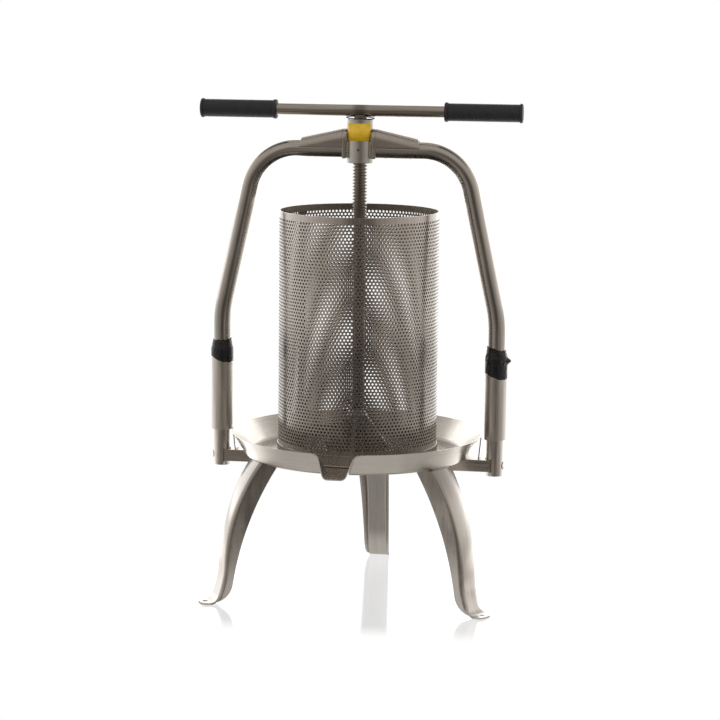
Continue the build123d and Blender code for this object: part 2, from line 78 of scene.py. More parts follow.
# brightness by direction, from straight in front at 0 to straight behind at 1
room_levels = [(0.0, 0.08), (0.02, 0.1), (0.05, 0.23), (0.15, 0.31), (0.37, 0.45), (0.5, 0.53), (0.6, 0.63),
               (0.8, 0.83), (1.0, 1.3)]
# the table's levels are painted light on it, bright behind the press and dim in front
table_levels = [(0.0, 0.12), (0.08, 0.14), (0.33, 0.36), (0.44, 0.82), (0.5, 0.98), (0.64, 1.6), (1.0, 1.9)]
room_turn, room_warmth = radians(10), 0.11
# how far up, or how far to the back, a direction points where each part of the room begins and is full
lift_full, lift_to = 0.12, 1.4
ceiling_fade, ceiling_level, ceiling_warmth = (0.25, 0.75), 0.45, 0.6
sill_fade, lintel_fade = (-0.04, 0.06), (0.54, 0.4)
window_fade, backdrop_fade = (0.5, 0.68), (0.88, 0.95)
window_turn, window_level, window_warmth = radians(25), 1.9, 0.05
dull_light = [0.95, 0.94, 0.92, 1.0]
eased = {"interpolation_type": "SMOOTHSTEP"}
bpy.context.scene.view_settings.view_transform = "Standard"


def linear(hex_colour):
    """An sRGB hex colour as linear red, green, blue and alpha."""
    channels = [int(hex_colour[i:i + 2], 16) / 255 for i in (1, 3, 5)]
    return [c / 12.92 if c <= 0.04045 else ((c + 0.055) / 1.055) ** 2.4 for c in channels] + [1.0]


def add_node(tree, kind, inputs=(), **settings):
    """Add a shader node and give its outputs. An input takes a value, or a link where it is given an output.
    A mix of colours has its share at input 0 and its colours at 6 and 7, and gives output 2."""
    made = tree.nodes.new("ShaderNode" + kind)
    for name, value in settings.items():
        setattr(made, name, value)
    for name, value in dict(inputs).items():
        if isinstance(value, bpy.types.NodeSocket):
            tree.links.new(value, made.inputs[name])
        else:
            made.inputs[name].default_value = value
    return made.outputs


def new_material(name):
    """A material, its node tree, and in it the place on the object, from which its patterns start."""
    material = bpy.data.materials.new(name)
    material.use_nodes = True
    tree = material.node_tree
    tree.nodes.clear()
    return material, tree, add_node(tree, "TexCoord")["Object"]


def meshed(name, shape, material):
    """A finished shape as a mesh in one material."""
    mesh = bpy.data.meshes.new(name)
    shape.to_mesh(mesh)
    shape.free()
    mesh.materials.append(material)
    return mesh


def show(mesh):
    """A mesh as an object of the same name in the scene."""
    piece = bpy.data.objects.new(mesh.name, mesh)
    bpy.context.collection.objects.link(piece)
    return piece


def warm(level, share):
    """A grey of the room, browner towards its front."""
    return [level * (1 + room_warmth * share), level, level * (1 - room_warmth * share), 1.0]


def surroundings(tree, way, levels):
    """The colour of the room, or of the table, in a direction, as the steel reflects it."""
    part = add_node(tree, "SeparateXYZ", {"Vector": way})
    to_back = [-sin(room_turn), cos(room_turn), 0]
    depth = add_node(tree, "VectorMath", {0: way, 1: to_back}, operation="DOT_PRODUCT")
    share = add_node(tree, "MapRange", {"Value": depth["Value"], "From Min": -1.0})
    walls = add_node(tree, "ValToRGB", {"Fac": share[0]})
    stops = walls["Color"].node.color_ramp.elements
    for at, level in levels[1:-1]:
        stops.new(at).color = warm(level, 1 - at)
    stops[0].color, stops[-1].color = warm(levels[0][1], 1.0), warm(levels[-1][1], 0.0)
    lift = add_node(tree, "MapRange", {
        "Value": part["Z"], "From Max": lift_full, "To Min": 1.0, "To Max": lift_to}, **eased)
    upper = add_node(tree, "VectorMath", {0: walls["Color"], "Scale": lift[0]}, operation="SCALE")
    to_window = [-sin(window_turn), cos(window_turn), 0]
    facing = add_node(tree, "VectorMath", {0: way, 1: to_window}, operation="DOT_PRODUCT")
    wide = add_node(tree, "Math", {0: facing["Value"], 1: part["Y"]}, operation="MAXIMUM")
    fades = [(part["Z"], ceiling_fade), (part["Z"], sill_fade), (part["Z"], lintel_fade),
             (wide[0], window_fade), (part["Y"], backdrop_fade)]
    above, sill, lintel, behind, backdrop = [
        add_node(tree, "MapRange", {"Value": value, "From Min": start, "From Max": full}, **eased)[0]
        for value, (start, full) in fades]
    ceiling = add_node(tree, "Mix", {
        0: above, 6: upper[0], 7: warm(ceiling_level, ceiling_warmth)}, data_type="RGBA")
    band = add_node(tree, "Math", {0: sill, 1: lintel}, operation="MULTIPLY")
    pane = add_node(tree, "Math", {0: band[0], 1: behind}, operation="MULTIPLY")
    window = add_node(tree, "Math", {0: pane[0], 1: backdrop}, operation="MAXIMUM")
    seen = add_node(tree, "Mix", {
        0: window[0], 6: ceiling[2], 7: warm(window_level, window_warmth)}, data_type="RGBA")
    return seen[2]


# laminate: the camera sees it white with faint reflections; the steel sees it glowing with painted light and
# shade: a painted shadow under the press, then bright behind and at the sides and dim in front, and far off
# as bright as the room
table_paint, tree, spot = new_material("white_laminate_painted_light_and_shade")
table_paint.cycles.emission_sampling = "NONE"
away = add_node(tree, "VectorMath", {0: spot}, operation="NORMALIZE")[0]
reach = add_node(tree, "VectorMath", {0: spot}, operation="LENGTH")["Value"]
painted_shade, beyond, far_off = [
    add_node(tree, "MapRange", {"Value": reach, "From Min": near, "From Max": far}, **eased)[0]
    for near, far in (shade_reach, pool_reach, table_reach)]
under = add_node(tree, "Mix", {
    0: painted_shade, 6: warm(shade_level, table_warmth), 7: warm(pool_level, table_warmth)}, data_type="RGBA")
sides = add_node(tree, "Mix", {
    0: beyond, 6: under[2], 7: surroundings(tree, away, table_levels)}, data_type="RGBA")
laid = add_node(tree, "Mix", {
    0: far_off, 6: sides[2], 7: surroundings(tree, away, room_levels)}, data_type="RGBA")
lit = add_node(tree, "Emission", {"Color": laid[2]})
white = add_node(tree, "Emission", {"Color": linear("#ffffff")})
gloss = add_node(tree, "BsdfGlossy", {"Color": linear("#ffffff"), "Roughness": gloss_rough})
forward = add_node(tree, "SeparateXYZ", {"Vector": spot})["Y"]
front = add_node(tree, "MapRange", {
    "Value": forward, "From Min": front_near, "From Max": front_far,
    "To Min": gloss_share, "To Max": 0.0}, **eased)
sheen = add_node(tree, "MapRange", {
    "Value": reach, "From Min": mirror_near, "From Max": mirror_far,
    "To Min": front[0], "To Max": 0.0}, **eased)
top = add_node(tree, "MixShader", {0: sheen[0], 1: white[0], 2: gloss[0]})
rays = add_node(tree, "LightPath")
view = add_node(tree, "MixShader", {0: rays["Is Camera Ray"], 1: lit[0], 2: top[0]})
add_node(tree, "OutputMaterial", {"Surface": view[0]})
shape = bmesh.new()
bmesh.ops.create_circle(shape, cap_ends=True, segments=floor_sides, radius=floor_r)
bmesh.ops.translate(shape, verts=shape.verts, vec=(0, 0, -floor_drop))
show(meshed("table_top", shape, table_paint))

# dull surfaces are lit evenly from all round, and the backdrop is plain white
world = bpy.data.worlds.new("studio")
world.use_nodes = True
world.cycles.sampling_method = "NONE"
bpy.context.scene.world = world
room = world.node_tree
room.nodes.clear()
rays = add_node(room, "LightPath")
mirrored = surroundings(room, add_node(room, "TexCoord")["Generated"], room_levels)
even = add_node(room, "Mix", {0: rays["Is Diffuse Ray"], 6: mirrored, 7: dull_light}, data_type="RGBA")
seen = add_node(room, "Mix", {0: rays["Is Camera Ray"], 6: even[2], 7: linear("#ffffff")}, data_type="RGBA")
light = add_node(room, "Background", {"Color": seen[2]})
add_node(room, "OutputWorld", {"Surface": light[0]})

# Legs: three channels pressed from stainless sheet, bowed out to a flat foot with a screw hole and
# welded to the tray's underside at the top.
leg_sheet, leg_height = 2.5 * mm, 178.0 * mm
web_r, web_z, web_half = 180.2 * mm, 50.0 * mm, 15.5 * mm
leg_splay = tan(radians(6.8))
bow_r, ankle_r, foot_bend_r = 215.0 * mm, 110.0 * mm, 10.0 * mm
toe_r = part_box("leg_rear")[1][1]
toe_round, toe_steps = 11.0 * mm, 12
foot_hole_inset, foot_hole_r, foot_hole_sides = 7.5 * mm, 3.25 * mm, 24
flange_depth = 27.2 * mm
heel_r, heel_setback, heel_start, heel_turn = 27.8 * mm, 0.6 * mm, radians(1), radians(81)
# the fold is held to a share of the flange, which loses a sheet's thickness as it runs out at the heel
leg_fold_r, fold_share, heel_power = 6.0 * mm, 0.8, 8
# the web's crown runs out between these shares of the leg's length, down to a trace
leg_crown, crown_trace = radians(15), 1e-4
crown_until, flat_from = 8 / 15, 13 / 15
leg_stations, web_columns, fold_columns, flange_columns = 72, 5, 7, 4
leg_weld_r, leg_weld_length, leg_weld_inset = 1.5 * mm, 13 * mm, 5 * mm
leg_weld_out, leg_weld_z = 0.2 * mm, leg_height - 0.6 * mm
weld_ripple, weld_step, bead_sides = 2.0 * mm, 0.5 * mm, 10
# a bead's thickness in shares of its radius: at least, for a dab, for wandering, and at its ends
bead_least, bead_dab, bead_wander, bead_end = 0.86, 0.2, 0.14, 0.45
wander_size = 4 * mm
# for all ground steel: the noise's usual span, the clouds, and what scratches do to roughness and relief
noise_low, noise_high = 0.3, 0.7
cloud_size, rub_swing = 45 * mm, 0.07
scratch_relief, scratch_height = 0.1, 0.03 * mm
# the radius at which scratches round a piece have their true length
belt_r = 150 * mm
# strength of a heat bloom and of the brown darkening; the bloom's full and last reach and its raggedness, in
# its widths
bloom_share, darkening_share = 0.6, 0.35
bloom_full, bloom_last, bloom_ragged = 0.5, 1.3, 0.6


def steel_finish(name, colour, streak, roughness, round_z=False, turn=0.0, mottle=0.06, heat=0.0, depth=0.2,
                 darkening_heights=None):
    """Stainless steel rubbed with an abrasive belt. Fine scratches along one direction give the eye soft
    highlights drawn out across them, and handling leaves faint cloudy patches. The streak is a scratch's
    size along X, Y and Z in millimetres, with X and Y turned for a piece that stands at an angle, or along
    the turn, the radius and Z for a round piece. Real scratches are near 0.1 mm wide, and are drawn wider
    so that they show, darker by the depth. A weld's heat leaves an olive bloom this many millimetres to
    either side of X = 0. The steel is darkened to brown fully at the first of two heights, and not at the
    second: painted shade on the legs' tops under the tray, and a darker foot on the cage."""
    material, tree, place = new_material(name)
    if round_z:
        part = add_node(tree, "SeparateXYZ", {"Vector": place})
        angle = add_node(tree, "Math", {0: part["Y"], 1: part["X"]}, operation="ARCTAN2")
        sweep = add_node(tree, "Math", {0: angle[0], 1: belt_r}, operation="MULTIPLY")
        level = add_node(tree, "CombineXYZ", {"X": part["X"], "Y": part["Y"]})
        out = add_node(tree, "VectorMath", {0: level[0]}, operation="LENGTH")
        place = add_node(tree, "CombineXYZ", {"X": sweep[0], "Y": out["Value"], "Z": part["Z"]})[0]
    along = add_node(tree, "Mapping", {
        "Vector": place, "Rotation": [0, 0, turn], "Scale": [s * mm for s in streak]}, vector_type="TEXTURE")
    scratches = add_node(tree, "TexNoise", {
        "Vector": along[0], "Scale": 1.0, "Detail": 4.0, "Roughness": 0.65})
    clouds = add_node(tree, "TexNoise", {
        "Vector": place, "Scale": 1 / cloud_size, "Detail": 3.0, "Roughness": 0.6})
    light, dark = linear(colour), [c * (1 - depth) for c in linear(colour)[:3]] + [1.0]
    deep = add_node(tree, "MapRange", {
        "Value": scratches["Fac"], "From Min": noise_low, "From Max": noise_high})
    tone = add_node(tree, "Mix", {0: deep[0], 6: dark, 7: light}, data_type="RGBA")
    if heat:
        across = add_node(tree, "SeparateXYZ", {"Vector": place})["X"]
        off = add_node(tree, "Math", {0: across}, operation="ABSOLUTE")
        ragged = add_node(tree, "Math", {
            0: clouds["Fac"], 1: bloom_ragged * heat * mm, 2: off[0]}, operation="MULTIPLY_ADD")
        bloom = add_node(tree, "MapRange", {
            "Value": ragged[0], "From Min": bloom_full * heat * mm, "From Max": bloom_last * heat * mm,
            "To Min": bloom_share, "To Max": 0.0}, **eased)
        tone = add_node(tree, "Mix", {0: bloom[0], 6: tone[2], 7: linear("#4f4c3d")}, data_type="RGBA")
    # brown darkening between two heights: painted shade on the legs' tops, a darker foot on the cage
    if darkening_heights:
        height = add_node(tree, "SeparateXYZ", {"Vector": place})["Z"]
        clean = add_node(tree, "MapRange", {
            "Value": height, "From Min": darkening_heights[0], "From Max": darkening_heights[1],
            "To Min": 1 - darkening_share}, **eased)
        tone = add_node(tree, "Mix", {0: clean[0], 6: linear("#4f473f"), 7: tone[2]}, data_type="RGBA")
    rub = add_node(tree, "MapRange", {
        "Value": scratches["Fac"], "From Min": noise_low, "From Max": noise_high,
        "To Min": roughness - rub_swing, "To Max": roughness + rub_swing})
    smear = add_node(tree, "MapRange", {
        "Value": clouds["Fac"], "From Min": noise_low, "From Max": noise_high,
        "To Min": -mottle, "To Max": mottle})
    rough = add_node(tree, "Math", {0: rub[0], 1: smear[0]}, operation="ADD")
    relief = add_node(tree, "Bump", {
        "Height": scratches["Fac"], "Strength": scratch_relief, "Distance": scratch_height})
    steel = add_node(tree, "BsdfPrincipled", {
        "Base Color": tone[2], "Metallic": 1.0, "Roughness": rough[0], "Normal": relief[0]})
    add_node(tree, "OutputMaterial", {"Surface": steel[0]})
    return material


def clouded_finish(name, hues, patch, rough=None, detail=3.0, grain=None, look=()):
    """A finish that drifts between two colours, and two roughnesses, over patches of so many millimetres. A
    grain has its width in millimetres, its strength and its height in millimetres. The look holds the rest
    of the shader's values."""
    material, tree, place = new_material(name)
    patches = add_node(tree, "TexNoise", {"Vector": place, "Scale": 1 / (patch * mm), "Detail": detail})
    hue = add_node(tree, "Mix", {
        0: patches["Fac"], 6: linear(hues[0]), 7: linear(hues[1])}, data_type="RGBA")
    surface = {"Base Color": hue[2], **dict(look)}
    if rough:
        dull = add_node(tree, "MapRange", {"Value": patches["Fac"], "To Min": rough[0], "To Max": rough[1]})
        surface["Roughness"] = dull[0]
    if grain:
        width, strength, height = grain
        grains = add_node(tree, "TexNoise", {"Vector": place, "Scale": 1 / (width * mm), "Detail": 2.0})
        relief = add_node(tree, "Bump", {
            "Height": grains["Fac"], "Strength": strength, "Distance": height * mm})
        surface["Normal"] = relief[0]
    shader = add_node(tree, "BsdfPrincipled", surface)
    add_node(tree, "OutputMaterial", {"Surface": shader[0]})
    return material


def smoothed(mesh, sharp_from=35):
    """Shade a mesh smooth, but for the edges that turn more sharply than this many degrees."""
    mesh.polygons.foreach_set("use_smooth", [True] * len(mesh.polygons))
    mesh.set_sharp_from_angle(angle=radians(sharp_from))
    return mesh


def attach(body, name, shape, material, sharp_from=35):
    """Show a finished shape as a piece that rides on a body."""
    piece = show(smoothed(meshed(name, shape, material), sharp_from))
    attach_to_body(piece, body)
    return piece


def dressed(shape, node, body, material, edge):
    """Show a shape in a piece's place, with its cut edges broken by a small radius."""
    sharp = [e for e in shape.edges if e.is_manifold and e.calc_face_angle() > radians(40)]
    bmesh.ops.bevel(shape, geom=sharp, offset=edge, segments=2, profile=0.5, affect="EDGES",
                    clamp_overlap=True)
    piece = attach(body, node + "_finished", shape, material)
    flat = piece.modifiers.new("flat_faces", "WEIGHTED_NORMAL")
    flat.keep_sharp = True
    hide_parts(node)


def finished(node, body, material, edge):
    """A copy of a piece with its cut edges broken, shown in the piece's place."""
    shape = bmesh.new()
    shape.from_mesh(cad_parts[node].data)
    bmesh.ops.remove_doubles(shape, verts=shape.verts, dist=1e-6)
    bmesh.ops.dissolve_limit(shape, angle_limit=radians(0.3), verts=shape.verts, edges=shape.edges)
    dressed(shape, node, body, material, edge)


def arc(start, heading, radius, turn, steps=40):
    """Points of an arc, and its heading at the end. It turns left, or right if radius and turn are
    negative."""
    side = Vector((-heading.y, heading.x))
    turns = [turn * i / steps for i in range(steps + 1)]
    points = [start + radius * (heading * sin(a) + side * (1 - cos(a))) for a in turns]
    return points, heading * cos(turn) + side * sin(turn)


def evenly(points, count):
    """So many points at equal steps along a line of points."""
    reach = [0.0]
    for a, b in zip(points, points[1:]):
        reach.append(reach[-1] + (b - a).length)
    spaced, k = [], 0
    for i in range(count):
        at = reach[-1] * i / (count - 1)
        while k < len(points) - 2 and reach[k + 1] < at:
            k += 1
        spaced.append(points[k].lerp(points[k + 1], (at - reach[k]) / (reach[k + 1] - reach[k])))
    return spaced


def round_turns(count):
    """So many equal turns round a circle."""
    return [2 * pi * k / count for k in range(count)]


def join(shape, near, far):
    """Faces between two rings of points, either of which may be a single point."""
    sides = max(len(near), len(far))
    for k in range(sides):
        n = (k + 1) % sides
        corners = near[k % len(near)], near[n % len(near)], far[n % len(far)], far[k % len(far)]
        shape.faces.new(list(dict.fromkeys(corners)))


def ease(share):
    """A share, held between 0 and 1 and eased at both ends."""
    share = min(1.0, max(0.0, share))
    return share * share * (3 - 2 * share)


def zipped(outer, inner):
    """Triangles that fill the ring between two loops of (turn, index), each sorted by its turn."""
    triangles, i, k = [], 0, 0
    while i < len(outer) or k < len(inner):
        here_out, here_in = outer[i % len(outer)], inner[k % len(inner)]
        next_out, next_in = outer[(i + 1) % len(outer)], inner[(k + 1) % len(inner)]
        turn_out = next_out[0] + (2 * pi if i + 1 >= len(outer) else 0)
        turn_in = next_in[0] + (2 * pi if k + 1 >= len(inner) else 0)
        if k >= len(inner) or (i < len(outer) and turn_out <= turn_in):
            triangles.append((here_out[1], next_out[1], here_in[1]))
            i += 1
        else:
            triangles.append((here_out[1], next_in[1], here_in[1]))
            k += 1
    return triangles


def leg_half(r):
    """Half the leg's width at a distance from the screw: its sides splay towards the tray."""
    return web_half + (web_r - r) * leg_splay


def leg_shell():
    """The leg's outer face as (out, across, up) points and faces: a slightly crowned web with a soft fold to
    a flange on each side, run out at the heel into a flat round toe with a hole."""
    upright = Vector((web_r, web_z))
    bow, _ = arc(upright, Vector((0, 1)), bow_r, asin((leg_height - web_z) / bow_r))
    ankle_turn = asin((web_z - leg_sheet - foot_bend_r) / (ankle_r - foot_bend_r))
    ankle, heading = arc(upright, Vector((0, -1)), ankle_r, ankle_turn)
    bend, _ = arc(ankle[-1], heading, foot_bend_r, pi / 2 - ankle_turn)
    web = evenly(bow[::-1] + ankle[1:] + bend[1:], leg_stations)
    heel_at = Vector((bend[-1].x - heel_setback, 0))
    heel, heading = arc(heel_at, Vector((-cos(heel_start), sin(heel_start))), -heel_r, -heel_turn)
    span = Vector((bow[-1].x - flange_depth, leg_height)) - heel[-1]
    bulge = Vector((-heading.y, heading.x)).dot(span)
    back, _ = arc(heel[-1], heading, span.length_squared / (2 * bulge), 2 * atan2(bulge, heading.dot(span)))
    edge = evenly((heel + back[1:])[::-1], leg_stations)
    points, faces = [], []
    for i, (near, far) in enumerate(zip(web, edge)):
        down = i / (leg_stations - 1)
        way, half = (far - near).normalized(), leg_half(near.x)
        depth = (far - near).length - leg_sheet * down ** heel_power
        fold = min(leg_fold_r, fold_share * depth)
        crown = leg_crown * (1 - ease((down - crown_until) / (flat_from - crown_until))) + crown_trace
        web_bend = (half - fold * (1 - sin(crown))) / sin(crown)
        right = [(web_bend * sin(a), web_bend * (1 - cos(a)))
                 for a in (crown * k / web_columns for k in range(1, web_columns + 1))]
        shoulder, drop = right[-1]
        right += [(shoulder + fold * (sin(a) - sin(crown)), drop + fold * (cos(crown) - cos(a)))
                  for a in (crown + (pi / 2 - crown) * k / fold_columns for k in range(1, fold_columns + 1))]
        drop = right[-1][1]
        right += [(half, drop + (depth - drop) * k / flange_columns) for k in range(1, flange_columns + 1)]
        for across, deep in [(-a, d) for a, d in right[::-1]] + [(0.0, 0.0)] + right:
            at = near + way * deep
            splay = (leg_half(at.x) - half) * (1 if across > 0 else -1)
            points.append((at.x, across + splay, at.y))
    columns = len(points) // leg_stations
    for i in range(leg_stations - 1):
        for k in range(columns - 1):
            a = i * columns + k
            faces.append((a, a + columns, a + columns + 1, a + 1))
    foot, hole_at = web[-1], toe_r - foot_hole_inset
    middle = (leg_stations - 1) * columns + columns // 2
    outline = list(range(middle - web_columns, middle + web_columns + 1))
    corner = leg_half(foot.x) - toe_round
    turns = [pi / 2 * k / toe_steps for k in range(toe_steps)]
    for hand in (1, -1):
        for a in turns if hand < 0 else turns[::-1]:
            outline.append(len(points))
            points.append((foot.x + toe_round * cos(a), hand * (corner + toe_round * sin(a)), leg_sheet))
    hole = []
    for a in round_turns(foot_hole_sides):
        hole.append((a, len(points)))
        points.append((hole_at + foot_hole_r * cos(a), foot_hole_r * sin(a), leg_sheet))
    outline = sorted((atan2(points[n][1], points[n][0] - hole_at) % (2 * pi), n) for n in outline)
    return points, faces + zipped(outline, hole)


# weld metal: stainless melted by an arc and left as it set, darker and browner than the sheet, with
# straw and blue-grey heat tints a few millimetres across
weld_metal = clouded_finish("heat_tinted_weld", ("#5d5247", "#a89a89"), patch=3, rough=(0.28, 0.55),
                            grain=(0.8, 0.3, 0.1), look={"Metallic": 1.0})


def weld_run(name, path, radius, body, closed=False, metal=weld_metal):
    """A run of weld along a path: a bead, half sunk in the corner it fills, with a ripple for each dab."""
    corners = [Vector(p) for p in path] + ([Vector(path[0])] if closed else [])
    points = []
    for a, b in zip(corners, corners[1:]):
        count = max(1, round((b - a).length / weld_step))
        points += [a.lerp(b, i / count) for i in range(count)]
    if not closed:
        points.append(corners[-1])
    shape = bmesh.new()
    rings, side = [], None
    last = len(points) - 1
    for i, point in enumerate(points):
        if closed:
            ahead, back = points[(i + 1) % len(points)], points[i - 1]
        else:
            ahead, back = points[min(i + 1, last)], points[max(i - 1, 0)]
        heading = (ahead - back).normalized()
        side = heading.orthogonal() if side is None else side - heading * side.dot(heading)
        side.normalize()
        up = heading.cross(side)
        dab = (i * weld_step / weld_ripple) % 1.0
        wander = noise.noise(point / wander_size)
        size = radius * (bead_least + bead_dab * dab + bead_wander * wander)
        if not closed:
            size *= min(1.0, bead_end + min(i, last - i) * weld_step / radius)
        rings.append([shape.verts.new(point + size * (cos(t) * side + sin(t) * up))
                      for t in round_turns(bead_sides)])
    for i in range(len(rings) if closed else last):
        join(shape, rings[i], rings[(i + 1) % len(rings)])
    if not closed:
        shape.faces.new(list(reversed(rings[0])))
        shape.faces.new(rings[-1])
    bmesh.ops.recalc_face_normals(shape, faces=shape.faces)
    attach(body, name, shape, metal, sharp_from=60)


# each leg's turn, and its own lighter or darker copy of the same finish, which is painted light for how
# the light falls on each leg; the tops are darkened with painted shade, where the tray above shades them
leg_places = {"left": (radians(210), "#d2cdc7"), "right": (radians(330), "#e2ddd7"),
              "rear": (radians(90), "#dad5cf")}
leg_top_painted_shade = (170 * mm, 125 * mm)
shell_points, shell_faces = leg_shell()
weld_from = max(r for r, _, z in shell_points if z > leg_height - 0.1 * mm) - leg_weld_inset
for side, (turn, painted_shade) in leg_places.items():
    out, across = Vector((cos(turn), sin(turn), 0)), Vector((-sin(turn), cos(turn), 0))
    shape = bmesh.new()
    verts = [shape.verts.new(out * r + across * s + Vector((0, 0, z))) for r, s, z in shell_points]
    for face in shell_faces:
        shape.faces.new([verts[n] for n in face])
    bmesh.ops.remove_doubles(shape, verts=shape.verts, dist=0.02 * mm)
    bmesh.ops.recalc_face_normals(shape, faces=shape.faces)
    bmesh.ops.solidify(shape, geom=shape.faces, thickness=leg_sheet)
    leg_steel = steel_finish(f"belt_ground_stainless_leg_{side}", painted_shade, streak=(70, 1.4, 70), roughness=0.25,
                             turn=turn, mottle=0.09, darkening_heights=leg_top_painted_shade)
    dressed(shape, "leg_" + side, "frame", leg_steel, edge=0.3 * mm)
    for letter, hand in (("a", -1), ("b", 1)):
        path = [out * r + across * hand * (leg_half(r) + leg_weld_out) + Vector((0, 0, leg_weld_z))
                for r in (weld_from, weld_from - leg_weld_length)]
        weld_run(f"leg_weld_{side}_{letter}", path, leg_weld_r, "frame")

# Tray: one stainless sheet pressed into a flared dish, its spout drawn out of the wall, the outside
# rubbed round and round with a belt, which draws its lights out up and down the wall.
tray_steel = steel_finish("belt_ground_stainless_tray", "#d6d1ca", streak=(60, 1.2, 0.9), roughness=0.24,
                          round_z=True)
finished("tray", "frame", tray_steel, edge=0.35 * mm)

# Crossbar, posts and struts: box section under the tray with a short tube welded across each end, and
# a small plate at each side from the bar up to the tray's rim. A plug weld shows as a ring outside.
tube_r = 10.65 * mm
plug_r, plug_steps = 4.2 * mm, 24
post_weld_r, plug_weld_r = 1.3 * mm, 0.8 * mm
# tube ground along its length: its lights spread round it and fade softly
frame_steel = steel_finish("belt_ground_stainless_tube", "#e6e1da", streak=(2.4, 2.4, 80), roughness=0.32,
                           depth=0.4)
# section and plate ground along the bar: an even, slightly darker grey
bar_steel = steel_finish("belt_ground_stainless_bar", "#cfc8c0", streak=(40, 1.2, 1.2), roughness=0.3)
finished("crossbar", "frame", bar_steel, edge=0.8 * mm)
bar_low, bar_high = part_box("crossbar")
bar_half, bar_z = bar_high[1], (bar_low[2] + bar_high[2]) / 2
bar_outline = [(y, bar_low[2]) for y in (-bar_half, 0, bar_half)]
bar_outline += [(y, bar_high[2]) for y in (bar_half, 0, -bar_half)]
plug_outline = [(plug_r * cos(t), bar_z + plug_r * sin(t)) for t in round_turns(plug_steps)]
for side, hand in (("left", -1), ("right", 1)):
    finished("post_" + side, "frame", frame_steel, edge=0.4 * mm)
    finished("tray_strut_" + side, "frame", frame_steel, edge=0.3 * mm)
    post_low, post_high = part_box("post_" + side)
    post_x = (post_low[0] + post_high[0]) / 2
    path = [(post_x - hand * sqrt(tube_r ** 2 - y ** 2), y, z) for y, z in bar_outline]
    weld_run("post_weld_" + side, path, post_weld_r, "frame", closed=True)
    path = [(post_x + hand * sqrt(tube_r ** 2 - y ** 2), y, z) for y, z in plug_outline]
    weld_run("plug_weld_" + side, path, plug_weld_r, "frame", closed=True)

# Knuckles, pins and stop rings: turned and milled stainless inside the locking sleeves, out of sight
# until a sleeve is raised.
# turned and milled steel: a fine even grain with no direction
turned_steel = steel_finish("turned_stainless", "#bdb7b0", streak=(1.0, 1.0, 1.0), roughness=0.3)


def clothe(material, *nodes):
    """Give a finish to pieces that stay as they are."""
    for node in nodes:
        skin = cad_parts[node].data.materials
        skin.clear()
        skin.append(material)


for side in ("left", "right"):
    clothe(turned_steel, "knuckle_tongue_" + side, "knuckle_fork_" + side, "knuckle_pin_" + side,
           "sleeve_stop_" + side)

# Nut housing: a turned boss with a closed floor round the bronze nut, bead-blasted to a dull grey.
# An oil hole is drilled in its front, and a rubber dust ring lies on top round the screw.
housing_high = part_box("nut_housing")[1]
housing_r = housing_high[0]
ring_steps, wire_sides = 96, 12
dust_ring_r, dust_wire_r, dust_ring_z, dust_lean = 17.1 * mm, 0.6 * mm, 602.1 * mm, radians(3)
# bead-blasted steel: peened all over, so it shows only soft light and dark bands, with no streaks
blasted = clouded_finish("bead_blasted_stainless", ("#c6c5bd", "#dcdbd4"), patch=12, grain=(0.7, 0.2, 0.06),
                         look={"Metallic": 1.0, "Roughness": 0.36})
finished("nut_housing", "frame", blasted, edge=0.2 * mm)

# bronze: turned on a lathe, which leaves fine rings, and browned by old oil
bronze, tree, place = new_material("oiled_turned_bronze")
rings = add_node(tree, "Mapping", {"Vector": place, "Scale": [1 / (s * mm) for s in (25, 25, 0.6)]})
cut = add_node(tree, "TexNoise", {"Vector": rings[0], "Scale": 1.0, "Detail": 2.0})
relief = add_node(tree, "Bump", {"Height": cut["Fac"], "Strength": 0.2, "Distance": 0.05 * mm})
metal = add_node(tree, "BsdfPrincipled", {
    "Base Color": linear("#7d6440"), "Metallic": 1.0, "Roughness": 0.34, "Normal": relief[0]})
add_node(tree, "OutputMaterial", {"Surface": metal[0]})
clothe(bronze, "spindle_nut")

# moulded rubber: carbon-black, with a dull bloom and a fine grain from the mould
rubber = clouded_finish("moulded_black_rubber", ("#1c1c1f", "#2d2d31"), patch=9, rough=(0.5, 0.68),
                        detail=4.0, grain=(0.5, 0.25, 0.06))


def wire_ring(name, radius, wire, height, material, body, lean=0.0):
    """A ring of round wire about the screw's axis. It may lean, down towards its front and right."""
    tip = Matrix.Rotation(lean, 3, Vector((1, 1, 0)))
    shape = bmesh.new()
    rings = []
    for a in round_turns(ring_steps):
        spoke, up = tip @ Vector((cos(a), sin(a), 0)), tip @ Vector((0, 0, 1))
        centre = spoke * radius + Vector((0, 0, height))
        rings.append([shape.verts.new(centre + wire * (cos(t) * spoke + sin(t) * up))
                      for t in round_turns(wire_sides)])
    for near, far in zip(rings, rings[1:] + rings[:1]):
        join(shape, far, near)
    bmesh.ops.recalc_face_normals(shape, faces=shape.faces)
    return attach(body, name, shape, material)


dust_ring = wire_ring("rubber_ring", dust_ring_r, dust_wire_r, dust_ring_z, rubber, "frame", dust_lean)
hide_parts("dust_ring")

# Arch: two bent stainless tubes that run up from the knuckles and in to the nut housing, with a cheek
# plate and a folded gusset welded on where each one meets it. The corners at the boss are filled with weld.
# tube ground finer than the rest: narrow bright lines along it
arch_steel = steel_finish("belt_ground_stainless_arch", "#dad5ce", streak=(80, 0.9, 80), roughness=0.21,
                          depth=0.4)
